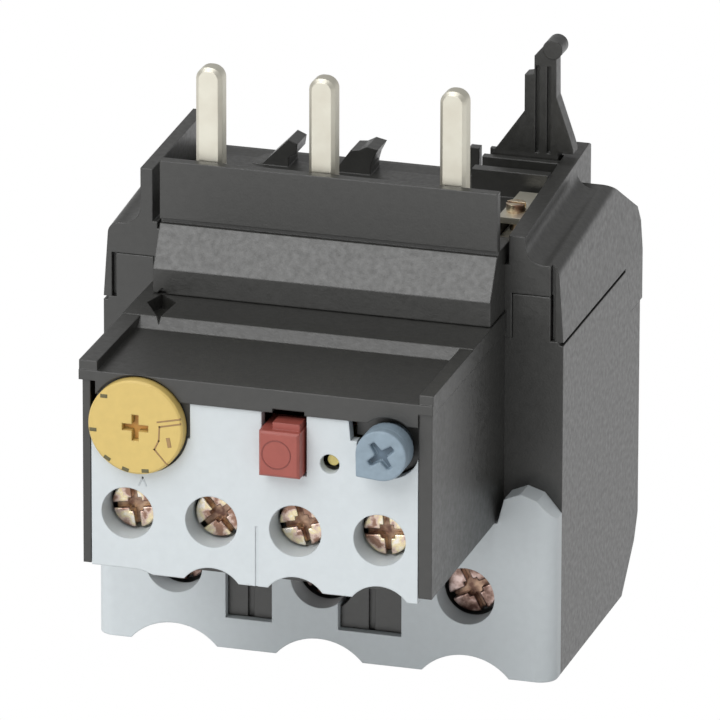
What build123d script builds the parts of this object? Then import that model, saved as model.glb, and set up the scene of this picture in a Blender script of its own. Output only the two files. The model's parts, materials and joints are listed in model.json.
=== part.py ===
from build123d import *
import math
import os

# Millimetres. X to the right, Y to the rear, Z up. In this source the front of the
# terminal cover is y = 0 and the foot of the casing is z = 0.

# Overall sizes
half_width = 30.0
casing_front = 3.6
casing_rear = 40.5
foremost = -31.5
seam_z = 44.2
rear_seam_z = 37.6
deck_z = 56.3
wall = 2.0
fit = 0.1
gap = 0.3

# Poles
pole_pitch = 19.15
pole_mid = -0.57
pole_xs = [pole_mid - pole_pitch, pole_mid, pole_mid + pole_pitch]
partition = 2.55
chamber_half = (pole_pitch - partition) / 2
chamber_left = pole_xs[0] - chamber_half
chamber_right = pole_xs[2] + chamber_half
terminal_z = 10.5
channel_radius = 7.5
channel_axis_z = -4.9

# Control module
module_half = 22.44
module_left_wall = 1.0
module_right_wall = 1.7
module_front = -28.26
module_foot = 20.9
module_top = 45.0
plate_depth = 1.5
lid_front = -28.6

# Control terminals
aux_pitch = (2 * module_half - 1.6) / 4
aux_mid = -0.47
aux_xs = [aux_mid + aux_pitch * (n - 1.5) for n in range(4)]
aux_z = 27.95

# Operators on the front
dial_x = -module_half + 7.26
dial_z = 39.85
dial_radius = 6.12
knob_x = module_half - 5.64
knob_z = 40.2
knob_radius = 3.25
test_x = 3.5
test_z = 38.55
flag_x = 9.35
flag_z = 37.25

# Travels
clamp_travel = 5.5
aux_travel = 2.0
test_travel = 2.0
reset_travel = 1.6
trip_travel = 1.6
carrier_travel = 1.5
flag_travel = 1.2
lever_x = dial_x + 14.18
lever_y = -10.0

# Plug-in pins
pin_xs = [-15.6, -0.9, 16.05]
pin_width = 3.4
pin_front = 1.7
pin_rear = 4.3
pin_top = 76.25
tail_z = 50.2


def box(x0, x1, y0, y1, z0, z1):
    middle = Pos((x0 + x1) / 2, (y0 + y1) / 2, (z0 + z1) / 2)
    return middle * Box(x1 - x0, y1 - y0, z1 - z0)


def side_profile(points, x0, x1):
    outline = Polyline(*[(x0, y, z) for y, z in points], close=True)
    return extrude(make_face(outline), amount=x1 - x0, dir=(1, 0, 0))


def front_profile(points, y0, y1):
    outline = Polyline(*[(x, y0, z) for x, z in points], close=True)
    return extrude(make_face(outline), amount=y1 - y0, dir=(0, 1, 0))


def plan_profile(points, z0, z1):
    outline = Polyline(*[(x, y, z0) for x, y in points], close=True)
    return extrude(make_face(outline), amount=z1 - z0, dir=(0, 0, 1))


def rod_y(x, z, radius, y0, y1):
    return Pos(x, (y0 + y1) / 2, z) * Rot(90, 0, 0) * Cylinder(radius, y1 - y0)


def rod_z(x, y, radius, z0, z1):
    return Pos(x, y, (z0 + z1) / 2) * Cylinder(radius, z1 - z0)


def edges_at(shape, axis, **near):
    chosen = shape.edges().filter_by(axis)
    for name, value in near.items():
        chosen = [e for e in chosen if abs(getattr(e.center(), name) - value) < 0.05]
    return chosen


# Lower housing

front_wall = 3.4
head_radius = 3.3
shank_radius = 2.9
counterbore_radius = 3.85
counterbore_floor = 5.9
clearance_radius = 3.1
slider_z0 = 40.5
slider_z1 = 42.0
slider_y0 = 19.5
slider_y1 = 29.0
arm_x0 = -6.2
arm_x1 = -4.2
tongue_x0 = half_width - 6.6
tongue_x1 = half_width - 1.7
tongue_depth = 1.6
tongue_top = 50.0
entry_half = 4.5
entry_y0 = 17.3
entry_y1 = 23.2

casing_outline = [
    (casing_front, 0),
    (casing_front, seam_z),
    (32.5, seam_z),
    (35.3, rear_seam_z),
    (casing_rear, rear_seam_z),
    (casing_rear, 11),
    (37.8, 5.6),
    (32.1, 0),
]
chamber_outline = [
    (casing_front + front_wall, 4.6),
    (30.8, 4.6),
    (36.4, 9.6),
    (casing_rear - wall, 13.5),
    (casing_rear - wall, seam_z + 0.1),
    (casing_front + front_wall, seam_z + 0.1),
]
window_xs = [(pole_mid - 12.33, pole_mid - 6.23), (pole_mid + 2.47, pole_mid + 10.77)]
window_z0 = 4.1
window_z1 = 17.6
seam_groove = 0.45


def arm_window(y0, y1):
    """Opening that leaves the slider's arm free over its travel."""
    return box(arm_x0 - 0.6, arm_x1 + trip_travel + 0.6, y0, y1, slider_z0 - 0.6, slider_z1 + 0.6)


def lower_housing():
    body = side_profile(casing_outline, -half_width, half_width)
    body = fillet(edges_at(body, Axis.Z, Y=casing_rear), 1.2)
    for x in pole_xs:
        body -= side_profile(chamber_outline, x - chamber_half, x + chamber_half)
        body -= rod_y(x, channel_axis_z, channel_radius, 0, 22)
        body -= rod_y(x, terminal_z, counterbore_radius, 0, counterbore_floor)
        body -= rod_y(x, terminal_z, clearance_radius, 0, casing_front + front_wall + 1)
        body -= box(x - entry_half, x + entry_half, entry_y0, entry_y1, -1, 5)
    # shelf that carries the outgoing bars
    for x in pole_xs:
        shelf = box(x - chamber_half, x + chamber_half, 23.6, 38.5, 19.7, 22.2)
        body += shelf
    # window for the trip slider through the partitions
    for x in pole_xs[:2]:
        x0 = x + pole_pitch / 2 - partition
        body -= box(x0, x0 + 2 * partition, slider_y0 - gap, slider_y1 + 0.5, slider_z0 - 0.5, seam_z + 1)
    # window for the slider's arm through the front wall
    body -= arm_window(casing_front - 1, casing_front + front_wall + 1)
    # guide ledges of the slider at both ends
    for x0, x1 in ((chamber_left - 0.1, chamber_left + 1.8), (chamber_right - 2.9, chamber_right + 0.1)):
        body += box(x0, x1, slider_y0 - 1, slider_y1 + 1, slider_z0 - 2, slider_z0 - fit)
    # pads that stand close behind the two windows of the terminal cover
    for x0, x1 in window_xs:
        pad = box(x0 + fit, x1 - fit, 1.0, casing_front, window_z0 + fit, window_z1 - fit)
        middle = (x0 + x1) / 2
        body += pad - box(middle - 0.4, middle + 0.4, 0, 1.5, 0, 20)
    for x in pole_xs:
        body -= rod_y(x, terminal_z, counterbore_radius + 0.6, 0, casing_front)
    # tongues that hold the upper housing
    for x0, x1 in ((-tongue_x1, -tongue_x0), (tongue_x0, tongue_x1)):
        body += box(x0, x1, casing_front, casing_front + tongue_depth, seam_z - 1, tongue_top)
    # groove along the seam at both sides
    for s in (-1, 1):
        x = s * half_width
        body -= box(x - 0.6, x + 0.6, casing_front - 1, 32.4, seam_z - seam_groove, seam_z + 1)
    return body


# Upper housing

deck_half = 22.9
deck_front = 5.5
roof = 2.5
inner_half = half_width - 2.5
front_cavity_y = 5.6
right_wall_x = deck_half + 2.1
left_wall_x = -deck_half - 2.2
cove = 2.4
shoulder_front_z = 54.1
shoulder_rear_z = 56.5
shoulder_rear_y = 28.7
shell_outline = [
    (casing_front, seam_z),
    (casing_front, shoulder_front_z),
    (shoulder_rear_y, shoulder_rear_z),
    (39.4, 50.2),
    (casing_rear, 48.0),
    (casing_rear, rear_seam_z),
    (35.3, rear_seam_z),
    (32.5, seam_z),
]
cavity_outline = [
    (front_cavity_y, seam_z - 0.1),
    (front_cavity_y, deck_z - roof),
    (27.8, deck_z - roof),
    (37.4, 48.2),
    (38.5, 43.8),
    (38.5, rear_seam_z - 0.1),
    (35.3, rear_seam_z - 0.1),
    (32.5, seam_z - 0.1),
]
right_wall_outline = [(casing_front, 52), (casing_front, 57.6), (32.8, 60.4), (33.6, 60.0), (33.6, 52)]
left_wall_outline = [(casing_front, 52), (casing_front, 61.6), (25.6, 62.3), (28.4, 58.0), (28.4, 52)]
pocket_x0 = deck_half - 3.4
pocket_x1 = deck_half
pocket_floor = 54.0
pocket_screw_x = (pocket_x0 + pocket_x1) / 2
pocket_screw_y = 12.6
hook_a = [
    (-18.4, 56),
    (-15.3, 56.6),
    (-12.0, 60.0),
    (-10.8, 59.5),
    (-11.0, 58.2),
    (-12.0, 57.6),
    (-12.0, 56),
]
hook_b = [
    (-6.2, 56),
    (-3.8, 59.4),
    (-2.7, 59.5),
    (-1.6, 60.1),
    (-0.2, 59.8),
    (-0.9, 58.4),
    (-1.2, 57.3),
    (-1.2, 56),
]


def shoulder_cove(side, wall_x):
    """Hollow corner between a side wall and the rising shoulder outside it."""
    run = 27.0 - casing_front
    rise = (shoulder_rear_z - shoulder_front_z) / (shoulder_rear_y - casing_front) * run
    near = min(wall_x, wall_x + side * cove)
    top = shoulder_front_z + cove
    corner = box(near, near + cove, casing_front - 0.5, casing_front, shoulder_front_z - 0.4, top)
    corner -= rod_y(wall_x + side * cove, top, cove, casing_front - 1, casing_front + 1)
    face = corner.faces().sort_by(Axis.Y)[-1]
    return extrude(face, amount=math.hypot(run, rise), dir=(0, run, rise))


def upper_housing():
    body = side_profile(shell_outline, -half_width, half_width)
    # side walls lean inwards above the seam
    for s, groove_top in ((-1, tongue_top + fit), (1, shoulder_front_z)):
        wedge = [
            (s * half_width, seam_z),
            (s * (half_width + 1.5), seam_z),
            (s * (half_width + 1.5), 60),
            (s * (half_width - 1.07), 60),
        ]
        body -= front_profile(wedge, 0, 45)
        edge = [e for e in body.edges() if e.center().Z > 52 and s * e.center().X > half_width - 1.5
                and abs(e.tangent_at(0.5).Y) > 0.9 and e.center().Y < 27]
        body = fillet(edge, 1.5)
        # upright groove between the front face and the side wall
        x = s * (half_width - 1.4)
        body -= box(x - 0.3, x + 0.3, casing_front - 1, casing_front + 0.8, seam_z - 1, groove_top)
    # level deck between the two side walls
    body += box(-deck_half, deck_half, casing_front, 30, 52, deck_z)
    body += side_profile(right_wall_outline, deck_half, right_wall_x)
    body += side_profile(left_wall_outline, left_wall_x, left_wall_x + 1.6)
    body += box(left_wall_x + 1.5, -deck_half, casing_front, 28, 52, deck_z)
    body += shoulder_cove(1, right_wall_x)
    body += shoulder_cove(-1, left_wall_x)
    body -= side_profile(cavity_outline, -inner_half, inner_half)
    # the hood of the pins takes the place of the deck's front edge
    body -= box(-deck_half, deck_half, 0, deck_front, deck_z - roof, deck_z + 0.1)
    # recesses for the tongues of the lower housing
    for x0, x1 in ((-tongue_x1, -tongue_x0), (tongue_x0, tongue_x1)):
        body -= box(x0 - fit, x1 + fit, 3, casing_front + tongue_depth + fit, seam_z - 1, tongue_top + fit)
    # slots for the tails of the pins
    half = pin_width / 2 + fit
    for x in pin_xs:
        body -= box(x - half, x + half, 3, 6, tail_z - fit, deck_z - roof)
    # pocket with the pass-through terminal
    body += box(pocket_x0 - 1, pocket_x1, deck_front, 21.5, pocket_floor - 1.6, pocket_floor + 1)
    body -= box(pocket_x0, pocket_x1, deck_front + 1, 20.5, pocket_floor, deck_z + 1)
    # square well in the deck
    body -= box(7.2, 9.2, 17.5, 20.5, deck_z - 1.5, deck_z + 1)
    # deep slot beside the left wall
    body -= box(left_wall_x + 1.6, hood_left, casing_front - 1, 24, deck_z - 1.6, deck_z + 1)
    # hooks at the rear
    body += front_profile(hook_a, 24, 28)
    body += front_profile(hook_b, 24, 28)
    body += box(10.8, 12.1, 27.4, 28.6, 56, 60.2)
    # three bars of the frame that holds the foot of the latch arm
    for y0, y1, top in ((21.0, 22.5, 59.7), (25.6, 26.7, 59.8), (29.3, 30.0, 59.7)):
        body += box(13.0, deck_half, y0, y1, deck_z - 1, top)
    # opening for the latch arm's foot
    body -= box(13.2, 22.6, 26.9, 29.1, deck_z - 1.4, deck_z + 0.3)
    return body


# Pin hood

hood_left = -deck_half + 1.5
hood_right = deck_half - 0.5
hood_front = -2.9
groove_z = 55.9
groove_height = 0.65
groove_depth = 0.6
hood_outline = [
    (casing_front, 47.7),
    (hood_front, 47.7),
    (hood_front, 50.9),
    (0, groove_z),
    (groove_depth, groove_z),
    (groove_depth, groove_z + groove_height),
    (0, groove_z + groove_height),
    (0, 64.15),
    (1.3, 64.15),
    (1.3, deck_z),
    (deck_front, deck_z),
    (deck_front, deck_z - roof),
    (casing_front, deck_z - roof),
]
hood_cavity = [
    (casing_front + 1, 49.2),
    (hood_front + 1.5, 49.2),
    (hood_front + 1.5, 50.6),
    (1.2, 54.8),
    (casing_front + 1, 54.8),
]


def pin_hood():
    body = side_profile(hood_outline, hood_left, hood_right)
    body -= side_profile(hood_cavity, hood_left + 1.2, hood_right - 1.2)
    half = pin_width / 2 + fit
    for x in pin_xs:
        body -= box(x - half, x + half, pin_front - fit, pin_rear + fit, 49.2, 57)
        body -= box(x - half, x + half, pin_front - fit, 6, 49.2, 54.8)
    # tip of the diamond notch of the lid
    body -= front_profile([(-21.0, 47.6), (-20.2, 48.4), (-19.4, 47.6)], hood_front - 1, hood_front + 0.7)
    return body


# Plug-in pins and their tails

tail_thickness = 2.0
riser_y0 = 17.3
riser_y1 = 18.5
riser_half = 1.5


def contact_pin(x, pole_x):
    shaft = box(x - pin_width / 2, x + pin_width / 2, pin_front, pin_rear, tail_z, pin_top)
    shaft = fillet(shaft.faces().sort_by(Axis.Z)[-1].edges().filter_by(Axis.Y), 1.55)
    shaft = chamfer(edges_at(shaft, Axis.Z, Y=pin_front) + edges_at(shaft, Axis.Z, Y=pin_rear), 0.45)
    half = pin_width / 2
    tail = box(x - half, x + half, pin_front + 0.8, riser_y1, tail_z, tail_z + tail_thickness)
    left = min(x - half, pole_x - riser_half)
    right = max(x + half, pole_x + riser_half)
    foot = box(left, right, 16, riser_y1, tail_z, tail_z + tail_thickness)
    return shaft + tail + foot


# Latch arm

arm_outline = [
    (13.4, deck_z - 1.3),
    (13.4, 59.2),
    (18.1, 65.9),
    (18.1, 70.7),
    (19.35, 70.95),
    (19.35, 73.3),
    (21.0, 75.2),
    (22.6, 74.4),
    (22.2, 73.0),
    (22.25, 68.0),
    (24.16, 62.4),
    (24.5, 61.2),
    (24.5, 60.7),
    (22.5, 60.7),
    (22.5, deck_z - 1.3),
]


def latch_arm():
    arm = front_profile(arm_outline, 27.0, 29.0)
    arm += rod_y(21.8, 74.4, 1.28, 26.6, 29.4)
    for x in (19.5, 21.0):
        arm -= box(x, x + 0.5, 26.5, 27.5, 60.5, 72.0)
    return arm


# Terminal cover

cover_top = 20.7
cover_wall = 1.2
pillar_inner = module_half + 0.16
pillar_outline = [
    (pillar_inner, 17.0),
    (pillar_inner, 20.5),
    (pillar_inner + 0.9, 24.0),
    (pillar_inner + 3.0, 24.9),
    (pillar_inner + 5.2, 24.2),
    (half_width, 21.6),
    (half_width, 17.0),
]


def terminal_cover():
    body = box(-half_width, half_width, 0, casing_front, 0, cover_top)
    for s in (-1, 1):
        body += front_profile([(s * x, z) for x, z in pillar_outline], 0, casing_front)
    corners = [e for e in edges_at(body, Axis.Z, Y=0) if abs(abs(e.center().X) - half_width) < 0.05]
    body = fillet(corners, 2.2)
    body -= box(-half_width + cover_wall, half_width - cover_wall, cover_wall, 4, -1, cover_top - cover_wall)
    for x in pole_xs:
        body += box(x - 4.8, x + 4.8, cover_wall - 0.2, casing_front, terminal_z - 4.8, terminal_z + 4.8)
        arch = rod_y(x, channel_axis_z, channel_radius + 1.2, 0, casing_front)
        body += arch - box(x - 9, x + 9, -1, 4, -20, 0)
    for x in pole_xs:
        body -= rod_y(x, channel_axis_z, channel_radius, -1, 4)
        body -= rod_y(x, terminal_z, 3.75, -1, 4)
    for x0, x1 in window_xs:
        body -= box(x0, x1, -1, 4, window_z0, window_z1)
    return body


# Outgoing terminals

cage_half = 5.8
cage_z0 = 5.75
cage_z1 = 15.25
cage_front = casing_front + front_wall + clamp_travel + fit
cage_front_depth = 2.4
cage_rear = 25.0
cage_rear_depth = 2.0
cage_side = 1.2
screw_tip = 15.1
screw_front = 3.4
bar_front = 15.2
bar_depth = 1.8
bar_half = 4.0
bar_foot = 6.2
leg_z0 = 22.2
leg_depth = 1.8
leg_rear = 27.0


def terminal_screw(x):
    head_rear = screw_front + 2.4
    screw = rod_y(x, terminal_z, head_radius, screw_front, head_rear)
    screw += rod_y(x, terminal_z, shank_radius, head_rear - 0.1, screw_tip)
    screw -= box(x - 0.55, x + 0.55, screw_front - 1, screw_front + 1.2, terminal_z - 4, terminal_z + 4)
    screw -= box(x - 1.8, x + 1.8, screw_front - 1, screw_front + 1.6, terminal_z - 0.45, terminal_z + 0.45)
    return screw


def clamp_cage(x):
    cage = box(x - cage_half, x + cage_half, cage_front, cage_rear, cage_z0, cage_z1)
    inner = cage_half - cage_side
    cage -= box(x - inner, x + inner, cage_front + cage_front_depth, cage_rear - cage_rear_depth, 0, 20)
    cage = chamfer(cage.edges().filter_by(Axis.Z).group_by(Axis.Y)[-1], 0.8)
    cage -= rod_y(x, terminal_z, shank_radius + fit, 10, cage_front + cage_front_depth + 0.1)
    # serrations that grip the conductor
    grip = cage_rear - cage_rear_depth
    for n in range(4):
        z = cage_z0 + 1.6 + 2.0 * n
        cage -= box(x - inner, x + inner, grip - 1, grip + 0.3, z, z + 0.6)
    return cage


def terminal_bar(x):
    bar = box(x - bar_half, x + bar_half, bar_front, bar_front + bar_depth, bar_foot, leg_z0 + leg_depth)
    bar += box(x - bar_half, x + bar_half, bar_front, leg_rear, leg_z0, leg_z0 + leg_depth)
    return bar


# Heaters and bimetals

bimetal_z1 = 43.0
coil_y0 = 20.3
coil_y1 = 27.7
coil_half = 1.6
ribbon = 0.6
ribbon_height = 1.1
coil_pitch = 2.1
coil_turns = 6
coil_foot = 25.6


def bimetal(x):
    foot = leg_z0 + leg_depth
    strip = box(x - 0.5, x + 0.5, 21, 26.8, foot, bimetal_z1)
    strip += box(x - 0.5, x + 1.0, 21.4, 26.4, foot, foot + 1.2)
    return strip


def heater(x):
    left = x - coil_half
    right = x + coil_half
    coil = box(left, right, coil_y1 - ribbon, coil_y1, leg_z0 + leg_depth, coil_foot + ribbon_height)
    for n in range(coil_turns):
        z = coil_foot + n * coil_pitch
        top = z + ribbon_height
        coil += box(left, right, coil_y1 - ribbon, coil_y1, z, top)
        coil += box(left, left + ribbon, coil_y0, coil_y1, z, top)
        coil += box(left, right, coil_y0, coil_y0 + ribbon, z, top)
        rise = coil_pitch if n < coil_turns - 1 else 0
        ramp = [(coil_y0, z), (coil_y0, top), (coil_y1, top + rise), (coil_y1, z + rise)]
        if rise:
            coil += side_profile(ramp, right - ribbon, right)
    z = coil_foot + (coil_turns - 1) * coil_pitch
    coil += box(left, right, riser_y0, coil_y0 + 0.1, z, z + ribbon_height)
    coil += box(left, right, riser_y0, riser_y1 - 0.2, z, tail_z)
    return coil


# Trip slider and lever

finger_y0 = -5.2
finger_y1 = -3.9
slider_x0 = chamber_left + 0.8
slider_x1 = chamber_right - trip_travel - 0.7


def trip_slider():
    plate = box(slider_x0, slider_x1, slider_y0, slider_y1, slider_z0, slider_z1)
    for x in pole_xs:
        plate -= box(x - 2.5, x + 0.8, 20.7, 27.3, 40, 43)
    plate += box(arm_x0, arm_x1, finger_y0 + 0.4, slider_y0 + 0.1, slider_z0, slider_z1)
    plate += box(arm_x0, lever_x, finger_y0 + 0.4, finger_y1 + 0.3, slider_z0, slider_z1)
    return plate


post_radius = 1.5
lever_z0 = 37.8
lever_z1 = 39.8


def trip_lever():
    lever = rod_z(lever_x, lever_y, 2.4, lever_z0, lever_z1)
    lever += box(lever_x - 6.0, lever_x + 5.0, lever_y - 0.8, lever_y + 0.8, lever_z0, lever_z1)
    # upright finger in front of the slider's arm
    lever += box(lever_x + gap, lever_x + gap + 1.4, lever_y, finger_y1, lever_z0, lever_z1)
    lever += box(lever_x + gap, lever_x + gap + 1.4, finger_y0, finger_y1, lever_z0, slider_z1)
    return lever - rod_z(lever_x, lever_y, post_radius + fit, 36, 43)


# Contact set

carrier_y0 = -5.2
carrier_y1 = -3.4
bridge_z0 = 33.2
bridge_z1 = 35.6
bridge_depth = 0.8


def contact_carrier():
    body = box(-14.0, 13.0, carrier_y0, carrier_y1, 32.4, 37.4)
    # notch over the rear contact that stands in the way
    body -= box(aux_xs[2] - 1.4, aux_xs[2] + 1.4, carrier_y0 - 1, carrier_y1 + 1, 32, bridge_z1 + gap)
    # tab moved by the trip lever
    body += box(lever_x - 5.6, lever_x - 4.6, lever_y + 0.8 + gap, carrier_y1, 36.0, lever_z1)
    # seats of the two bridges
    y1 = bridge_y + bridge_depth + fit
    for x in bridge_xs:
        body += box(x - 1.6, x + 1.6, carrier_y0 - 2.4, carrier_y0 + 0.1, 32.4, 36.6)
        body -= box(x - 2.0, x + 2.0, bridge_y - fit, y1, bridge_z0 - fit, bridge_z1 + fit)
    return body


bridge_xs = [(aux_xs[0] + aux_xs[1]) / 2, (aux_xs[2] + aux_xs[3]) / 2]
bridge_y = carrier_y0 - 1.6
bridge_reach = aux_pitch / 2 + 1.2
button_half = 0.9


def bridge(x, contact_side):
    strip = box(x - bridge_reach, x + bridge_reach, bridge_y, bridge_y + bridge_depth, bridge_z0, bridge_z1)
    face = bridge_y if contact_side < 0 else bridge_y + bridge_depth
    middle = (bridge_z0 + bridge_z1) / 2
    for s in (-1, 1):
        x0 = x + s * aux_pitch / 2 - button_half
        z0 = middle - button_half
        strip += box(x0, x0 + 2 * button_half, face - 0.5, face + 0.5, z0, z0 + 2 * button_half)
    return strip


# Control terminals

aux_head_front = -25.1
aux_head_depth = 2.9
aux_tip = -15.0
aux_head_radius = 3.0
aux_shank = 1.7
aux_plate_front = -22.1
rail_front = aux_plate_front + 1.0 + aux_travel + fit
rail_depth = 1.2
rail_half = 3.3
floor_top = 22.4


def aux_screw(x):
    head_rear = aux_head_front + aux_head_depth
    screw = rod_y(x, aux_z, aux_head_radius, aux_head_front, head_rear)
    screw += rod_y(x, aux_z, aux_shank, head_rear - 0.1, aux_tip)
    screw -= box(x - 0.45, x + 0.45, aux_head_front - 1, aux_head_front + 1.1, aux_z - 3.5, aux_z + 3.5)
    screw -= box(x - 1.6, x + 1.6, aux_head_front - 1, aux_head_front + 1.5, aux_z - 0.4, aux_z + 0.4)
    return screw


def aux_clamp_plate(x):
    plate = box(x - 3.7, x + 3.7, aux_plate_front, aux_plate_front + 1.0, aux_z - 3.5, aux_z + 3.5)
    plate -= rod_y(x, aux_z, aux_shank + 0.1, -25, -15)
    return plate


def aux_terminal(x, contact_y):
    """Rail with a rising arm that ends in the fixed contact at contact_y."""
    rail = box(x - rail_half, x + rail_half, rail_front, rail_front + rail_depth, floor_top, 33.5)
    rail -= rod_y(x, aux_z, aux_shank + fit, -25, -15)
    # the strip runs to the rear along the floor of the module and rises again
    rail += box(x - 1.5, x + 1.5, rail_front, contact_y, floor_top, floor_top + 1.0)
    rail += box(x - 1.5, x + 1.5, contact_y - 0.8, contact_y, floor_top, bridge_z1)
    return rail


def fixed_front_contact(x):
    """Contact that a bridge leaves when the relay trips."""
    reach = bridge_y - 0.5 - fit
    return aux_terminal(x, reach)


def fixed_rear_contact(x):
    """Contact that a bridge meets when the relay trips."""
    face = bridge_y + bridge_depth + 0.5 + carrier_travel + fit
    rail = box(x - rail_half, x + rail_half, rail_front, rail_front + rail_depth, floor_top, 33.5)
    rail -= rod_y(x, aux_z, aux_shank + fit, -25, -15)
    rail += box(x - 1.5, x + 1.5, rail_front, face + 0.8, floor_top, floor_top + 1.0)
    rail += box(x - 1.5, x + 1.5, face, face + 0.8, floor_top, bridge_z0 - 1.2)
    rail += box(x - 0.9, x + 0.9, face, face + 0.8, floor_top, bridge_z1)
    return rail


# Control module shell

rib_xs = [aux_mid - aux_pitch, aux_mid, aux_mid + aux_pitch]


def module_housing():
    inner_left = -module_half + module_left_wall
    inner_right = module_half - module_right_wall
    body = box(-module_half, module_half, module_front, casing_front, module_foot, module_top)
    body -= box(inner_left, inner_right, module_front - 1, casing_front - 1.5, floor_top, module_top + 1)
    body -= box(inner_left, inner_right, -30, module_front + plate_depth, 20, floor_top + 1)
    for x in rib_xs:
        body += box(x - 0.6, x + 0.6, -26.3, -13.0, floor_top - 0.1, 35.0)
    # post of the trip lever with its foot
    body += rod_z(lever_x, lever_y, 2.2, floor_top - 0.1, lever_z0 - fit)
    body += rod_z(lever_x, lever_y, post_radius, 36, 42.6)
    # guides of the contact carrier
    for x in (-9.3, 7.7):
        body += box(x - 0.8, x + 0.8, -7.4, 2.2, floor_top - 0.1, 32.3)
    # window for the slider's arm
    body -= arm_window(1.5, 4)
    # openings for the control wires
    for x in aux_xs:
        body -= box(x - 2.5, x + 2.5, aux_plate_front + 1.2, rail_front - 0.1, 20, 23)
    return body


# Module lid

lid_left = -module_half - 0.4
lid_right = module_half + 0.16
skirt_half = module_half - module_right_wall - 0.04
tray_z = 46.3
rim_z = 47.5
lid_deck_z = 47.6
step_y = -12.2
back_y = -10.8
hub_radius = 2.0
plunger_radius = 2.5
recess_front = -27.8
recess_rear = -26.4
knob_recess_front = -26.2
knob_recess_rear = -24.9
dial_cutout = dial_radius + 0.3
knob_cutout = 4.0
dial_tongue_x = dial_x + 6.5
dial_tongue_z = 38.7
knob_tongue_z = 40.7
neck_x0 = test_x - 1.1
neck_x1 = test_x + 2.4
neck_z = 42.4
skirt_foot = 43.3
lid_outline = [
    (lid_front, module_top),
    (lid_front, tray_z),
    (step_y, tray_z),
    (back_y, lid_deck_z),
    (casing_front - 0.1, lid_deck_z),
    (casing_front - 0.1, module_top),
]
rim_outline = [(lid_front + 0.2, 45.5), (lid_front + 0.2, rim_z), (-3.0, rim_z), (-3.0, 45.5)]


def module_lid():
    body = side_profile(lid_outline, lid_left, lid_right)
    body += side_profile(rim_outline, lid_left, -module_half + 1.94)
    body += side_profile(rim_outline, module_half - 1.64, lid_right)
    # skirt above the front plate, with the two tongues behind the dial and the knob
    skirt_rear = module_front + plate_depth
    body += box(-skirt_half, skirt_half, lid_front, skirt_rear, skirt_foot, module_top + 0.1)
    body += box(-skirt_half, dial_tongue_x, recess_front, recess_rear, dial_tongue_z, module_top + 0.1)
    disc = rod_y(dial_x, dial_z, dial_cutout - fit, recess_front, recess_rear)
    inner_left = -module_half + module_left_wall + fit
    body += disc - box(inner_left - 9, inner_left, -30, -20, 30, module_top)
    body += box(
        knob_x - 4.6, skirt_half, knob_recess_front, knob_recess_rear, knob_tongue_z, module_top + 0.1)
    body += rod_y(knob_x, knob_z, knob_cutout - fit, knob_recess_front, knob_recess_rear)
    body -= rod_y(dial_x, dial_z, dial_cutout, -30, recess_front)
    body -= rod_y(knob_x, knob_z, knob_cutout, -30, knob_recess_front)
    body -= rod_y(dial_x, dial_z, hub_radius + gap, -30, -20)
    body -= rod_y(knob_x, knob_z, plunger_radius + fit, -30, -20)
    # slot above the neck of the test button
    body -= box(neck_x0 - gap, neck_x1 + gap, -30, -26, 43, neck_z + 1.4)
    # skewed diamond notch at the left rear
    body -= plan_profile([(-21.1, -6.3), (-17.9, -11.6), (-17.6, -5.2), (-20.2, -2.8)], 45.8, 49)
    # bracket that guides the test button's stem
    body += box(test_x - 2.4, test_x + 2.4, -17.0, -15.8, 36.0, module_top + 0.1)
    body -= rod_y(test_x, test_z, 1.2, -18, -15)
    # sleeve that guides the reset plunger
    body += box(knob_x - 3.6, knob_x + 3.6, -20.0, -17.0, 36.4, module_top + 0.1)
    body -= rod_y(knob_x, knob_z, plunger_radius + fit, -21, -16)
    return body


# Front plate

plate_left = -module_half + module_left_wall + fit
plate_right = module_half - module_right_wall - fit
plate_top = 43.2
plate_foot = 20.15
scallop_top = 21.9
scallop_radius = 4.4
sleeve_inner = 3.35
sleeve_outer = 4.15
sleeve_rear = -24.0


def front_plate():
    rear = module_front + plate_depth
    body = box(plate_left, plate_right, module_front, rear, plate_foot, plate_top)
    # arches above the conductor holes, and a straight step at the left end
    for x in aux_xs[1:]:
        body -= rod_y(x, scallop_top - scallop_radius, scallop_radius, -30, -26)
    step_x = aux_xs[0] + 1.6
    step_z = 20.7
    step = [(plate_left - 1, plate_foot - 1), (plate_left - 1, step_z)]
    step += [(step_x, step_z), (step_x + 2, plate_foot - 0.1)]
    body -= front_profile(step, -30, -26)
    for x in aux_xs:
        x0 = x - sleeve_outer
        z0 = aux_z - sleeve_outer
        body += box(x0, x0 + 2 * sleeve_outer, rear - 0.1, sleeve_rear, z0, z0 + 2 * sleeve_outer)
        body -= rod_y(x, aux_z, sleeve_inner, -30, -23)
    # cut-outs for the lid's tongues, the dial and the knob
    body -= box(plate_left - 1, dial_tongue_x + fit, -30, -26, dial_tongue_z - fit, 45)
    body -= rod_y(dial_x, dial_z, dial_cutout, -30, -25)
    notch_x1 = plate_right + 1
    notch = [(knob_x - 5.2, 45), (knob_x - 4.8, knob_tongue_z - fit)]
    notch += [(notch_x1, knob_tongue_z - fit), (notch_x1, 45)]
    body -= front_profile(notch, -30, -26)
    body -= rod_y(knob_x, knob_z, knob_cutout, -30, -25)
    # opening of the test button
    body -= box(test_x0 - gap, test_x1 + gap, -30, -26, test_z0 - gap, 45)
    # window of the trip indicator
    body -= rod_y(flag_x, flag_z, 1.25, -30, -26)
    # hairline groove between the middle terminals
    body -= box(-0.2, 0.1, -30, module_front + 0.1, 20, 28)
    return body


# Operators

dial_front = -29.8
dial_back = -28.1
cam_y0 = -24.0
cam_y1 = -22.0
cam_base = 3.6
cam_rise = 1.2
dial_min = -14.0
dial_max = 135.0
cam_rate = cam_rise / (dial_max - dial_min)


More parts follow.
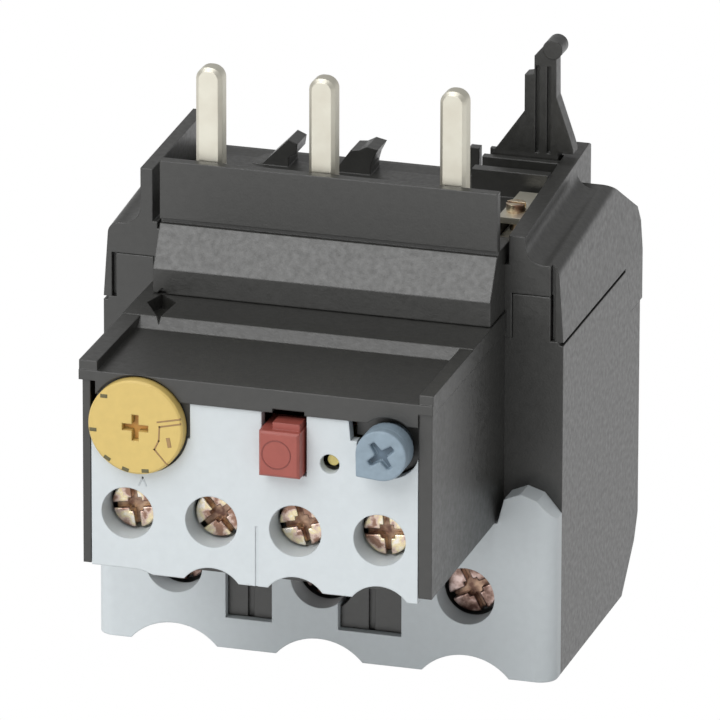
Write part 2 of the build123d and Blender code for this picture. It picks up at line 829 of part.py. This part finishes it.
def snail_cam():
    """Plate whose edge rises evenly with the angle, so the adjuster moves in
    proportion to the dial; the step back to the small radius is never reached."""
    low = cam_base - 0.4
    points = []
    for n in range(19):
        angle = dial_min + 29.0 - 10.0 * n
        radius = cam_base - cam_rate * angle
        points.append((angle, radius))
    points.extend((-165.0 - 15.0 * n, low) for n in range(11))
    corners = []
    for angle, radius in points:
        turn = math.radians(angle)
        corners.append((dial_x + radius * math.cos(turn), dial_z + radius * math.sin(turn)))
    return front_profile(corners, cam_y0, cam_y1)


def setting_dial():
    disc = rod_y(dial_x, dial_z, dial_radius, dial_front, dial_back)
    disc = chamfer(disc.edges().filter_by(GeomType.CIRCLE).group_by(Axis.Y)[0], 0.25)
    disc += rod_y(dial_x, dial_z, hub_radius, dial_back - 0.1, cam_y0 + 0.1)
    disc += snail_cam()
    disc -= box(dial_x - 1.7, dial_x + 1.7, -30, dial_front + 1.0, dial_z - 0.45, dial_z + 0.45)
    disc -= box(dial_x - 0.45, dial_x + 0.45, -30, dial_front + 1.0, dial_z - 1.7, dial_z + 1.7)
    return disc


adjuster_z0 = 38.6
adjuster_z1 = 40.2


def adjuster():
    face = dial_x + cam_base + fit
    body = box(face, face + 1.2, cam_y0 - 0.3, cam_y1 + 0.3, 37.6, 42.0)
    body += box(face, face + 1.2, cam_y0 - 0.3, -8.5, adjuster_z0, adjuster_z1)
    body += box(face, lever_x - 6.6 - 1.4, -13.3, -8.5, adjuster_z0, adjuster_z1)
    return body


test_front = lid_front - test_travel + fit
test_x0 = test_x - 2.6
test_x1 = test_x + 2.6
test_z0 = test_z - 2.95
test_z1 = test_z + 2.95


def test_button():
    body = box(test_x0, test_x1, test_front, -24.0, test_z0, test_z1)
    body = chamfer(edges_at(body, Axis.Z, Y=test_front) + edges_at(body, Axis.X, Y=test_front), 0.3)
    body += box(neck_x0, neck_x1, -29.5, -27.0, test_z1 - 0.5, neck_z)
    body += rod_y(test_x, test_z, 1.0, -24.1, -16.2)
    return body


knob_back = knob_recess_front - reset_travel - 0.15
stem_radius = 1.5
plunger_rear = -14.5


def reset_knob():
    knob = rod_y(knob_x, knob_z, knob_radius, foremost, knob_back)
    pointer = [(knob_x - 2.85, knob_z - 2.5), (knob_x - 0.6, knob_z - 3.1), (knob_x - 3.2, knob_z - 0.5)]
    knob += front_profile(pointer, foremost + 0.1, knob_back)
    knob += rod_y(knob_x, knob_z, stem_radius, knob_back - 0.1, -22.0)
    cross = box(-1.9, 1.9, -32, foremost + 0.9, -0.45, 0.45) + box(-0.5, 0.5, -32, foremost + 0.9, -1.9, 1.9)
    return knob - Pos(knob_x, 0, knob_z) * Rot(0, 14, 0) * cross


def reset_plunger():
    body = rod_y(knob_x, knob_z, plunger_radius, knob_back + 0.05, plunger_rear)
    body -= rod_y(knob_x, knob_z, stem_radius + fit, -30, -21.9)
    return body


def trip_indicator():
    pin = rod_y(flag_x, flag_z, 0.75, module_front + flag_travel + 0.46, -11.5)
    y1 = lever_y - 0.8 - gap
    pin += box(lever_x + 3.6, flag_x + 0.75, y1 - 1.2, y1, 36.9, 39.4)
    return pin


# Pass-through terminal

plate_z = 56.9


def pass_through_terminal():
    x0 = pocket_x0 + fit
    x1 = pocket_x1 - fit
    profile = [
        (19.8, pocket_floor),
        (19.8, plate_z + 0.8),
        (9.8, plate_z + 0.8),
        (9.8, plate_z),
        (18.8, plate_z),
        (18.8, pocket_floor + 0.8),
        (8.0, pocket_floor + 0.8),
        (8.0, pocket_floor),
    ]
    return side_profile(profile, x0, x1) - rod_z(pocket_screw_x, pocket_screw_y, 0.9, plate_z - 1, plate_z + 1)


def pass_through_screw():
    x = pocket_screw_x
    y = pocket_screw_y
    seat = plate_z + 0.8
    screw = rod_z(x, y, 1.25, seat, seat + 1.1)
    screw += rod_z(x, y, 0.8, seat - 2.4, seat + 0.1)
    return screw - box(x - 2, x + 2, y - 0.25, y + 0.25, seat + 0.6, seat + 2)


# All nodes

nodes = {
    "lower_housing": lower_housing(),
    "upper_housing": upper_housing(),
    "pin_hood": pin_hood(),
    "terminal_cover": terminal_cover(),
    "module_housing": module_housing(),
    "module_lid": module_lid(),
    "front_plate": front_plate(),
    "latch_arm": latch_arm(),
    "trip_slider": trip_slider(),
    "trip_lever": trip_lever(),
    "contact_carrier": contact_carrier(),
    "nc_bridge": bridge(bridge_xs[0], -1),
    "no_bridge": bridge(bridge_xs[1], 1),
    "setting_dial": setting_dial(),
    "adjuster": adjuster(),
    "test_button": test_button(),
    "reset_knob": reset_knob(),
    "reset_plunger": reset_plunger(),
    "trip_indicator": trip_indicator(),
    "pass_through_terminal": pass_through_terminal(),
    "pass_through_screw": pass_through_screw(),
}
for n, x in enumerate(pole_xs):
    nodes[f"contact_pin_{n + 1}"] = contact_pin(pin_xs[n], x)
    nodes[f"terminal_screw_{n + 1}"] = terminal_screw(x)
    nodes[f"clamp_cage_{n + 1}"] = clamp_cage(x)
    nodes[f"terminal_bar_{n + 1}"] = terminal_bar(x)
    nodes[f"bimetal_{n + 1}"] = bimetal(x)
    nodes[f"heater_{n + 1}"] = heater(x)
for n, x in enumerate(aux_xs):
    nodes[f"aux_screw_{n + 1}"] = aux_screw(x)
    nodes[f"aux_clamp_plate_{n + 1}"] = aux_clamp_plate(x)
    fixed = fixed_front_contact if n < 2 else fixed_rear_contact
    nodes[f"aux_terminal_{n + 1}"] = fixed(x)

# The origin of the part is the middle of its foot.
centre = Pos(0, -(casing_rear + foremost) / 2, 0)
os.makedirs("parts", exist_ok=True)
for name, shape in nodes.items():
    export_step(centre * shape, f"parts/{name}.step")
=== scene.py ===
import json
import math

import bmesh
import bpy
from mathutils import Matrix, Vector


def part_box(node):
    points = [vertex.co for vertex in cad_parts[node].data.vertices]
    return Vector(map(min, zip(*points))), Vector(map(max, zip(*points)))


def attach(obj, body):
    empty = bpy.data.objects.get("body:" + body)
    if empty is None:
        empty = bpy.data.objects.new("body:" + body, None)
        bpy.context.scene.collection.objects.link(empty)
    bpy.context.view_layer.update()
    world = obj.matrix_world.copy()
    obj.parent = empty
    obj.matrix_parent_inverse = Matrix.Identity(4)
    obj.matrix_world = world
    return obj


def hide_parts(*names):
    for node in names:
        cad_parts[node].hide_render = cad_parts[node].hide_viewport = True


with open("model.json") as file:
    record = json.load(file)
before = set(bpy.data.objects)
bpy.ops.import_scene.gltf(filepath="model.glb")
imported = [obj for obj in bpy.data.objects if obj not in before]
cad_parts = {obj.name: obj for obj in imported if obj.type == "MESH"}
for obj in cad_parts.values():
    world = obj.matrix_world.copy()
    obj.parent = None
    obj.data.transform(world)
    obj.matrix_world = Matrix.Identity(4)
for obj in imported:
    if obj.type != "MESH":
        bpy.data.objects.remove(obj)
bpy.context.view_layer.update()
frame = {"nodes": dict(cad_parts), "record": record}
nodes = frame["nodes"]

# Shift from the frame of the photo measurements to the part's frame, in metres
SHIFT_Y = -0.0045


def place(x, y, z):
    """A point given in the millimetres of the photo measurements, in metres."""
    return Vector((x / 1000, y / 1000 + SHIFT_Y, z / 1000))


# Materials: radii and depths in metres, noise scales per metre
MOULDED_EDGE = 0.00022
METAL_EDGE = 0.00012
GRAIN_DEPTH = 0.00004
MOULDED_GRAIN = 3200
SCRATCHES = 5000
TONE_PATCHES = 900
GLOSS_PATCHES = 1400
FILM_PATCHES = 620
# Part of the noise's range over which the tones of a passivated film run
FILM_START = 0.38
FILM_SPAN = 0.26


def new_material(name):
    mat = bpy.data.materials.new(name)
    mat.use_nodes = True
    tree = mat.node_tree
    coords = tree.nodes.new("ShaderNodeTexCoord")
    return mat, tree, tree.nodes["Principled BSDF"], coords


def noise(tree, coords, scale, detail):
    node = tree.nodes.new("ShaderNodeTexNoise")
    node.inputs["Scale"].default_value = scale
    node.inputs["Detail"].default_value = detail
    tree.links.new(coords.outputs["Object"], node.inputs["Vector"])
    return node


def spread(tree, source, low, high, start=0.3, end=0.7):
    """Maps the part of a noise between start and end onto the range low to high."""
    node = tree.nodes.new("ShaderNodeMapRange")
    node.inputs["From Min"].default_value = start
    node.inputs["From Max"].default_value = end
    node.inputs["To Min"].default_value = low
    node.inputs["To Max"].default_value = high
    tree.links.new(source.outputs["Fac"], node.inputs["Value"])
    return node.outputs["Result"]


def surface(tree, shader, coords, edge_radius, grain_scale, grain):
    """Rounded edges and a fine surface texture."""
    edge = tree.nodes.new("ShaderNodeBevel")
    edge.samples = 4
    edge.inputs["Radius"].default_value = edge_radius
    texture = noise(tree, coords, grain_scale, detail=2)
    bump = tree.nodes.new("ShaderNodeBump")
    bump.inputs["Strength"].default_value = grain
    bump.inputs["Distance"].default_value = GRAIN_DEPTH
    tree.links.new(texture.outputs["Fac"], bump.inputs["Height"])
    tree.links.new(edge.outputs["Normal"], bump.inputs["Normal"])
    tree.links.new(bump.outputs["Normal"], shader.inputs["Normal"])


def plastic(name, colour, roughness, grain, variation=0.06, gloss_drift=0.05, gloss=0.5):
    """Moulded plastic: an even colour and gloss with a slight drift, and a fine eroded texture."""
    mat, tree, shader, coords = new_material(name)
    shader.inputs["Specular IOR Level"].default_value = gloss
    tint = tree.nodes.new("ShaderNodeVectorMath")
    tint.operation = "SCALE"
    tint.inputs[0].default_value = colour
    drift = noise(tree, coords, TONE_PATCHES, detail=5)
    tree.links.new(spread(tree, drift, 1 - variation, 1 + variation), tint.inputs["Scale"])
    tree.links.new(tint.outputs["Vector"], shader.inputs["Base Color"])
    sheen = noise(tree, coords, GLOSS_PATCHES, detail=4)
    sheen_range = spread(tree, sheen, roughness - gloss_drift, roughness + gloss_drift)
    tree.links.new(sheen_range, shader.inputs["Roughness"])
    surface(tree, shader, coords, MOULDED_EDGE, MOULDED_GRAIN, grain)
    return mat


def metal(name, colour, stain, roughness, grain, patch_scale=500, start=0.35, end=0.65):
    """Metal with fine scratches, and a second colour in patches where it is stained."""
    mat, tree, shader, coords = new_material(name)
    shader.inputs["Metallic"].default_value = 1.0
    shader.inputs["Roughness"].default_value = roughness
    patches = noise(tree, coords, patch_scale, detail=4)
    mix = tree.nodes.new("ShaderNodeMix")
    mix.data_type = "RGBA"
    mix.inputs["A"].default_value = (*colour, 1)
    mix.inputs["B"].default_value = (*stain, 1)
    tree.links.new(spread(tree, patches, 0, 1, start, end), mix.inputs["Factor"])
    tree.links.new(mix.outputs["Result"], shader.inputs["Base Color"])
    surface(tree, shader, coords, METAL_EDGE, SCRATCHES, grain)
    return mat


def chromate(name, tones, roughness):
    """Passivated zinc: tones from dark stain to bright film run over the metal in small patches."""
    mat, tree, shader, coords = new_material(name)
    shader.inputs["Metallic"].default_value = 1.0
    shader.inputs["Roughness"].default_value = roughness
    film = tree.nodes.new("ShaderNodeValToRGB")
    stops = film.color_ramp.elements
    for n, tone in enumerate(tones):
        # A new ramp comes with two stops
        stop = stops[n] if n < 2 else stops.new(1.0)
        stop.position = FILM_START + FILM_SPAN * n / (len(tones) - 1)
        stop.color = (*tone, 1)
    patches = noise(tree, coords, FILM_PATCHES, detail=4)
    tree.links.new(patches.outputs["Fac"], film.inputs["Fac"])
    tree.links.new(film.outputs["Color"], shader.inputs["Base Color"])
    surface(tree, shader, coords, METAL_EDGE, SCRATCHES, grain=0.3)
    return mat


# One look for each material slot of the record
looks = {
    "black_plastic": plastic(
        "black_plastic", (0.0245, 0.0245, 0.0222), 0.38, 0.35,
        variation=0.12, gloss_drift=0.07, gloss=0.85),
    "light_grey_plastic": plastic(
        "light_grey_plastic", (0.60, 0.645, 0.665), 0.5, 0.1, variation=0.02),
    "yellow_plastic": plastic("yellow_plastic", (0.64, 0.47, 0.15), 0.45, 0.1, variation=0.03),
    "red_plastic": plastic("red_plastic", (0.33, 0.08, 0.062), 0.42, 0.1, variation=0.05),
    "blue_plastic": plastic("blue_plastic", (0.235, 0.305, 0.365), 0.42, 0.15, variation=0.09),
    "carrier_plastic": plastic("carrier_plastic", (0.25, 0.17, 0.10), 0.5, 0.2),
    "plated_copper": metal(
        "plated_copper", (0.76, 0.74, 0.645), (0.69, 0.66, 0.565), 0.5, 0.1, patch_scale=250),
    "copper": metal("copper", (0.70, 0.38, 0.24), (0.52, 0.28, 0.18), 0.3, 0.15),
    "resistance_alloy": metal(
        "resistance_alloy", (0.34, 0.31, 0.28), (0.24, 0.21, 0.20), 0.5, 0.2),
    "bimetal_strip": metal("bimetal_strip", (0.56, 0.56, 0.53), (0.45, 0.44, 0.42), 0.35, 0.15),
    "zinc_steel": metal("zinc_steel", (0.55, 0.56, 0.57), (0.42, 0.43, 0.45), 0.35, 0.15),
    "yellow_zinc_steel": metal(
        "yellow_zinc_steel", (0.86, 0.74, 0.55), (0.42, 0.24, 0.16), 0.3, 0.3,
        patch_scale=700, start=0.45, end=0.62),
    "lever_steel": metal("lever_steel", (0.50, 0.51, 0.52), (0.40, 0.40, 0.41), 0.3, 0.15),
}

# Clamp screws: a bright film on the control screws, a dark one on the main screws
bright_chromate = chromate(
    "bright_chromate",
    ((0.32, 0.19, 0.14), (0.70, 0.54, 0.47), (0.86, 0.74, 0.46), (0.90, 0.84, 0.76)), 0.26)
aged_chromate = chromate(
    "aged_chromate",
    ((0.10, 0.055, 0.045), (0.26, 0.17, 0.14), (0.50, 0.36, 0.32), (0.72, 0.56, 0.52)), 0.3)
# Floor of the cross recess and the shank: a dark brown metal that paints the shade in the recess
recess_painted_shade = metal(
    "recess_painted_shade", (0.50, 0.34, 0.24), (0.16, 0.09, 0.07), 0.35, 0.3, patch_scale=900)

slot_of = {s["node"]: s["material_slot"] for s in frame["record"]["subparts"]}
for name, obj in nodes.items():
    obj.data.materials.clear()
    obj.data.materials.append(looks[slot_of[name]])
# The trip indicator gets a brighter copy of the yellow plastic: painted light that lifts the pin out
# of the shade of its hole
nodes["trip_indicator"].data.materials[0] = plastic(
    "indicator_painted_light", (0.86, 0.70, 0.24), 0.35, 0.1, variation=0.08, gloss=0.6)


# Pieces made here: lengths in metres where no unit is named

LATHE_STEPS = 32
LOBE_STEPS = 8
# Share of a cross recess's half width that is left at the ends of its arms
ARM_TAPER = 0.7
# How far a form reaches into the one behind it, so that no gap shows
HEAD_LAP = 0.00005
KNOB_LAP = 0.0001


def mesh_piece(name, build, body, materials, bevel=None):
    """A mesh that build fills, riding on a body of the frame."""
    mesh = bpy.data.meshes.new(name)
    data = bmesh.new()
    build(data)
    bmesh.ops.recalc_face_normals(data, faces=data.faces)
    data.to_mesh(mesh)
    data.free()
    piece = bpy.data.objects.new(name, mesh)
    bpy.context.scene.collection.objects.link(piece)
    if bevel:
        rounding = piece.modifiers.new("rounding", "BEVEL")
        rounding.width = bevel
        rounding.segments = 3
        rounding.limit_method = "ANGLE"
        rounding.angle_limit = math.radians(40)
    for material in materials:
        mesh.materials.append(material)
    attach(piece, body)
    return piece


def ring(data, outline, y):
    """Vertices of an outline of (x, z) points, at y."""
    return [data.verts.new((x, y, z)) for x, z in outline]


def wall(data, near, far):
    """Faces between two closed loops of vertices."""
    for i in range(len(near)):
        j = (i + 1) % len(near)
        data.faces.new((near[i], far[i], far[j], near[j]))


def prism(data, outline, front, rear):
    """Closed prism along Y between front and rear."""
    near = ring(data, outline, front)
    far = ring(data, outline, rear)
    data.faces.new(near)
    data.faces.new(list(reversed(far)))
    wall(data, near, far)


def pocketed(data, outline, pocket, front, floor, rear):
    """Closed prism along Y whose front face has a pocket that ends at floor."""
    edge = ring(data, outline, front)
    mouth = ring(data, pocket, front)
    bottom = ring(data, pocket, floor)
    back = ring(data, outline, rear)
    rims = []
    for loop in (edge, mouth):
        rims += [data.edges.new(pair) for pair in zip(loop, loop[1:] + loop[:1])]
    bmesh.ops.triangle_fill(data, use_beauty=True, edges=rims)
    wall(data, edge, back)
    wall(data, mouth, bottom)
    # The pocket's floor takes the second material, the painted shade of the recess
    data.faces.new(bottom).material_index = 1
    data.faces.new(back)


def lathe(data, centre, profile):
    """Solid of revolution about an axis along Y through centre: profile is (radius, y) points."""
    rings = []
    for radius, y in profile:
        circle = []
        for i in range(LATHE_STEPS):
            turn = 2 * math.pi * i / LATHE_STEPS
            circle.append((centre[0] + radius * math.cos(turn), centre[1] + radius * math.sin(turn)))
        rings.append(ring(data, circle, y))
    for near, far in zip(rings, rings[1:]):
        wall(data, near, far)
    data.faces.new(rings[0])
    data.faces.new(list(reversed(rings[-1])))


def around(centre, radius, start, end, steps):
    """Points on an arc about centre, counted from the right, angles in degrees."""
    points = []
    for i in range(steps + 1):
        turn = math.radians(start + (end - start) * i / steps)
        points.append((centre[0] + radius * math.cos(turn), centre[1] + radius * math.sin(turn)))
    return points


def millimetres(centre, points):
    """Points given in millimetres from centre, in metres."""
    return [(centre[0] + x / 1000, centre[1] + z / 1000) for x, z in points]


def turned(centre, x, z, turn):
    """The point x, z from centre, turned about it."""
    return (
        centre[0] + x * math.cos(turn) - z * math.sin(turn),
        centre[1] + x * math.sin(turn) + z * math.cos(turn),
    )


def cross(centre, reach, half_width, turn):
    """Outline of a cross recess with slightly tapered arms."""
    end_half = half_width * ARM_TAPER
    outline = []
    for quarter in range(4):
        arm = turn + quarter * math.pi / 2
        for along, aside in ((half_width, -half_width), (reach, -end_half), (reach, end_half)):
            outline.append(turned(centre, along, aside, arm))
    return outline


def lobe(centre, radius, gap, turn, inner):
    """Outline of one quarter of a screw head: gap is the half width of the arms beside it."""
    points = [(gap, inner), (inner, inner), (inner, gap)]
    start = math.asin(gap / radius)
    for i in range(LOBE_STEPS + 1):
        t = start + (math.pi / 2 - 2 * start) * i / LOBE_STEPS
        points.append((radius * math.cos(t), radius * math.sin(t)))
    return [turned(centre, x, z, turn) for x, z in points]


# Shares of a screw head's radius, of its depth and of the shank's radius
HEAD_GAP = 0.115
HEAD_INNER = 0.28
HEAD_BASE = 0.97
HEAD_ROUNDING = 0.07
RECESS_DEPTH = 0.45
THREAD_ROOT = 0.88
SHANK_TIP = 0.8
SEAT_CHAMFER = 0.0001


def screw(node, body, turn, head_depth, shank_radius, pitch, film):
    """Combination-head screw with four lobes round a cross recess, and a threaded shank."""
    low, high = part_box(node)
    centre = ((low[0] + high[0]) / 2, (low[2] + high[2]) / 2)
    radius = (high[0] - low[0]) / 2
    base_radius = radius * HEAD_BASE
    root = shank_radius * THREAD_ROOT
    front = low[1]
    floor = front + head_depth * RECESS_DEPTH
    seat = front + head_depth

    def build(data):
        for quarter in range(4):
            quarter_turn = turn + quarter * math.pi / 2
            outline = lobe(centre, radius, radius * HEAD_GAP, quarter_turn, radius * HEAD_INNER)
            prism(data, outline, front, floor + HEAD_LAP)
        lobe_faces = len(data.faces)
        profile = [(base_radius, floor), (base_radius, seat - SEAT_CHAMFER), (root, seat)]
        y = seat + pitch * 0.5
        while y < high[1] - pitch:
            profile.append((root, y))
            profile.append((shank_radius, y + pitch * 0.5))
            y += pitch
        profile.append((shank_radius * SHANK_TIP, high[1]))
        lathe(data, centre, profile)
        data.faces.ensure_lookup_table()
        # The recess floor and the shank take the second material, the painted shade of the recess
        for face in data.faces[lobe_faces:]:
            face.material_index = 1

    piece = mesh_piece(
        node + "_visual", build, body, materials=[film, recess_painted_shade],
        bevel=radius * HEAD_ROUNDING)
    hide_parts(node)


# How far each screw is turned, in degrees, so that no two stand alike
MAIN_TURNS = (20, 55, 28)
AUX_TURNS = (8, 40, 15, 5)
for n, turn in enumerate(MAIN_TURNS, start=1):
    screw(
        f"terminal_screw_{n}", f"main_screw_{n}", math.radians(turn),
        head_depth=0.0024, shank_radius=0.0029, pitch=0.001, film=aged_chromate)
for n, turn in enumerate(AUX_TURNS, start=1):
    screw(
        f"aux_screw_{n}", f"aux_turn_{n}", math.radians(turn),
        head_depth=0.0029, shank_radius=0.0017, pitch=0.0006, film=bright_chromate)

# Reset knob: a head with a pointer corner and a cross recess, a round body and its stem
KNOB_BACK = place(0, -27.95, 0).y
KNOB_HEAD = 0.00125
KNOB_STEM = 0.0015
KNOB_EDGE = 0.00022
KNOB_RECESS_REACH = 0.0019
KNOB_RECESS_HALF = 0.0005
KNOB_RECESS_DEPTH = 0.0009
# Degrees: the round part of the head's outline, and the turn of its recess
KNOB_ROUND = (-94, 182)
KNOB_ROUND_STEPS = 44
KNOB_RECESS_TURN = 37
# Millimetres from the knob's axis
KNOB_POINTER = (-3.2, -3.0)
knob_low, knob_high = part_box("reset_knob")
knob_centre = ((knob_low[0] + knob_high[0]) / 2, (knob_low[2] + knob_high[2]) / 2)
knob_radius = (knob_high[0] - knob_low[0]) / 2


def knob(data):
    outline = around(knob_centre, knob_radius, *KNOB_ROUND, KNOB_ROUND_STEPS)
    outline += millimetres(knob_centre, [KNOB_POINTER])
    recess = cross(
        knob_centre, KNOB_RECESS_REACH, KNOB_RECESS_HALF, math.radians(KNOB_RECESS_TURN))
    front = knob_low[1]
    pocketed(data, outline, recess, front, front + KNOB_RECESS_DEPTH, front + KNOB_HEAD)
    lathe(data, knob_centre, [
        (knob_radius, front + KNOB_HEAD - KNOB_LAP), (knob_radius, KNOB_BACK),
        (KNOB_STEM, KNOB_BACK), (KNOB_STEM, knob_high[1]),
    ])


# Darker blue on the floor of the knob's cross recess: painted shade
knob_recess_painted_shade = plastic("knob_recess_painted_shade", (0.105, 0.15, 0.195), 0.5, 0.2, variation=0.2)
knob_piece = mesh_piece(
    "reset_knob_visual", knob, "reset_head",
    materials=[looks["blue_plastic"], knob_recess_painted_shade], bevel=KNOB_EDGE)
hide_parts("reset_knob")

# Marks on the setting dial and the index mark below it
MARK_HEIGHT = 0.00003
MARK_DEPTH = 0.0002
DIAL_RECESS_REACH = 0.00166
DIAL_RECESS_HALF = 0.0004
DIAL_RECESS_FLOOR = 0.00085
DIAL_RECESS_REAR = 0.0011
# Millimetres: widths of the strokes and half the length of a setting mark
MARK_WIDTH = 0.46
MARK_HALF = 0.22
LINE_WIDTH = 0.2
POINTER_WIDTH = 0.5
# Setting marks: angle about the dial, distance from its centre in millimetres, and lean
DIAL_MARKS = ((137, 5.5, 0), (188, 5.5, 0), (230, 5.65, -30), (257, 5.7, -18), (283, 5.65, 4))
ink = plastic("ink", (0.12, 0.105, 0.045), 0.5, 0.05)
# Darker brown strokes for the embossed sector lines and pointer of the dial: painted shade of their
# relief
embossed_line_shade = plastic("embossed_line_shade", (0.36, 0.22, 0.09), 0.5, 0.05)
# A darker amber on the floor of the dial's cross recess: painted shade
dial_recess_painted_shade = plastic("dial_recess_painted_shade", (0.50, 0.25, 0.05), 0.5, 0.2, variation=0.25)
dial_low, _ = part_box("setting_dial")
dial_middle = place(-15.18, 0, 39.85)
dial_centre = (dial_middle.x, dial_middle.z)
dial_face = dial_low[1]


def stroke(name, points, width, material, face=dial_face, body="dial"):
    """Thin line on a front face: points and width in millimetres, from the dial's centre."""
    def build(data):
        for a, b in zip(points, points[1:]):
            start, end = Vector(a), Vector(b)
            along = (end - start).normalized() * width / 2
            across = Vector((-along.y, along.x))
            corners = (
                start - along - across, end + along - across,
                end + along + across, start - along + across,
            )
            prism(data, millimetres(dial_centre, corners), face - MARK_HEIGHT, face + MARK_DEPTH)

    return mesh_piece(name, build, body, materials=[material])


for n, (angle, radius, lean) in enumerate(DIAL_MARKS):
    turn = math.radians(angle)
    middle = Vector((radius * math.cos(turn), radius * math.sin(turn)))
    half = Vector((math.cos(math.radians(lean)), math.sin(math.radians(lean)))) * MARK_HALF
    stroke(f"dial_mark_{n}", [middle - half, middle + half], MARK_WIDTH, ink)
stroke("dial_sector_upper", [(2.88, 1.06), (5.75, 1.71)], LINE_WIDTH, embossed_line_shade)
stroke(
    "dial_sector_side", [(5.8, 1.1), (3.13, 0.47), (3.04, -1.37), (2.47, -2.55), (4.1, -4.4)],
    LINE_WIDTH, embossed_line_shade)
stroke("dial_pointer", [(4.25, -1.1), (4.4, -1.85)], POINTER_WIDTH, embossed_line_shade)
plate_low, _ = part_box("front_plate")
# A grey a little darker than the plate for the embossed index mark: painted shade of its relief
index_painted_shade = plastic("index_painted_shade", (0.52, 0.565, 0.59), 0.5, 0.1)
stroke(
    "plate_index", [(0.0, -8.0), (0.45, -7.0), (0.9, -8.0)], LINE_WIDTH, index_painted_shade,
    face=plate_low[1], body="casing")


def dial_recess(data):
    outline = cross(dial_centre, DIAL_RECESS_REACH, DIAL_RECESS_HALF, 0)
    prism(data, outline, dial_face + DIAL_RECESS_FLOOR, dial_face + DIAL_RECESS_REAR)


# A sheet in the dial's cross recess, coloured darker amber: painted shade
mesh_piece(
    "dial_recess_floor", dial_recess, "dial", materials=[dial_recess_painted_shade])

# Ring on the face of the test button: a darker red that stands for the moulded groove there, painted
# shade
RING_INNER = 0.00176
RING_OUTER = 0.0019
RING_HEIGHT = 0.00004
RING_DEPTH = 0.0002
RING_POINTS = 48
test_low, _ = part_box("test_button")
test_middle = place(3.15, 0, 38.55)
test_centre = (test_middle.x, test_middle.z)


def button_ring(data):
    last = 360 - 360 / RING_POINTS
    loops = []
    for radius, y in (
            (RING_INNER, -RING_HEIGHT), (RING_OUTER, -RING_HEIGHT),
            (RING_OUTER, RING_DEPTH), (RING_INNER, RING_DEPTH)):
        circle = around(test_centre, radius, 0, last, RING_POINTS - 1)
        loops.append(ring(data, circle, test_low[1] + y))
    for near, far in zip(loops, loops[1:] + loops[:1]):
        wall(data, near, far)


groove_painted_shade = plastic("groove_painted_shade", (0.235, 0.055, 0.045), 0.45, 0.1)
mesh_piece("test_button_ring", button_ring, "test", materials=[groove_painted_shade])

# Floor: pale where it lights the object, plain white where it is seen straight or mirrored
FLOOR_SIZE = 6
FLOOR_CENTRE = (0, 0.5, -0.0002)


def seen_directly(tree):
    """One for camera, mirror and see-through rays, and zero for the rays that light the object."""
    path = tree.nodes.new("ShaderNodeLightPath")
    total = path.outputs["Is Camera Ray"]
    for name in ("Is Glossy Ray", "Is Transmission Ray"):
        join = tree.nodes.new("ShaderNodeMath")
        join.operation = "MAXIMUM"
        tree.links.new(total, join.inputs[0])
        tree.links.new(path.outputs[name], join.inputs[1])
        total = join.outputs["Value"]
    return total


bpy.ops.mesh.primitive_plane_add(size=FLOOR_SIZE, location=FLOOR_CENTRE)
floor = bpy.context.object
floor.name = "floor"
floor_mat = bpy.data.materials.new("floor")
floor_mat.use_nodes = True
tree = floor_mat.node_tree
base = tree.nodes["Principled BSDF"]
base.inputs["Base Color"].default_value = (0.9, 0.9, 0.9, 1)
base.inputs["Roughness"].default_value = 0.9
white = tree.nodes.new("ShaderNodeEmission")
white.inputs["Color"].default_value = (1, 1, 1, 1)
white.inputs["Strength"].default_value = 1.0
seen = tree.nodes.new("ShaderNodeMixShader")
tree.links.new(seen_directly(tree), seen.inputs[0])
tree.links.new(base.outputs["BSDF"], seen.inputs[1])
tree.links.new(white.outputs["Emission"], seen.inputs[2])
tree.links.new(seen.outputs["Shader"], tree.nodes["Material Output"].inputs["Surface"])
floor.data.materials.append(floor_mat)

# Lamps: a large softbox above on the left, and a low one that lights the front
LIGHT_TARGET = (0, -0.005, 0.04)


def softbox(name, direction, distance, size, power):
    """Rectangular lamp that faces the object from a direction: metres and watts."""
    data = bpy.data.lights.new(name, "AREA")
    data.shape = "RECTANGLE"
    data.size = size[0]
    data.size_y = size[1]
    data.energy = power
    lamp = bpy.data.objects.new(name, data)
    bpy.context.scene.collection.objects.link(lamp)
    aim = Vector(direction).normalized()
    lamp.location = Vector(LIGHT_TARGET) + aim * distance
    lamp.rotation_euler = aim.to_track_quat("Z", "Y").to_euler()


softbox("key", (-0.28, -0.60, 0.75), distance=1.1, size=(0.85, 0.85), power=7.7)
softbox("low_front", (-0.25, -0.90, 0.05), distance=1.2, size=(0.8, 0.3), power=2.7)

world = bpy.data.worlds.new("studio")
bpy.context.scene.world = world
world.use_nodes = True
background = world.node_tree.nodes["Background"]
background.inputs["Color"].default_value = (1, 1, 1, 1)
background.inputs["Strength"].default_value = 0.47

# Camera fitted to the photo
YAW = math.radians(16.715)
ELEVATION = math.radians(19.989)
ROLL = math.radians(0.138)
# Millimetres in the frame of the photo measurements: to the right, up, and back to the eye
EYE_RIGHT = 4.506
EYE_UP = 37.602
EYE_BACK = 1510.756
level = math.cos(ELEVATION)
back = Vector((math.sin(YAW) * level, -math.cos(YAW) * level, math.sin(ELEVATION)))
right = Vector((math.cos(YAW), math.sin(YAW), 0))
up = back.cross(right)
turned_right = right * math.cos(ROLL) + up * math.sin(ROLL)
turned_up = up * math.cos(ROLL) - right * math.sin(ROLL)
eye = right * EYE_RIGHT + up * EYE_UP + back * EYE_BACK
lens = bpy.data.cameras.new("camera")
lens.sensor_width = 36
lens.lens = 600
lens.clip_start = 0.05
lens.clip_end = 20
camera = bpy.data.objects.new("camera", lens)
bpy.context.scene.collection.objects.link(camera)
pose = Matrix((turned_right, turned_up, back)).transposed().to_4x4()
pose.translation = place(*eye)
camera.matrix_world = pose
bpy.context.scene.camera = camera
bpy.context.scene.view_settings.view_transform = "Standard"
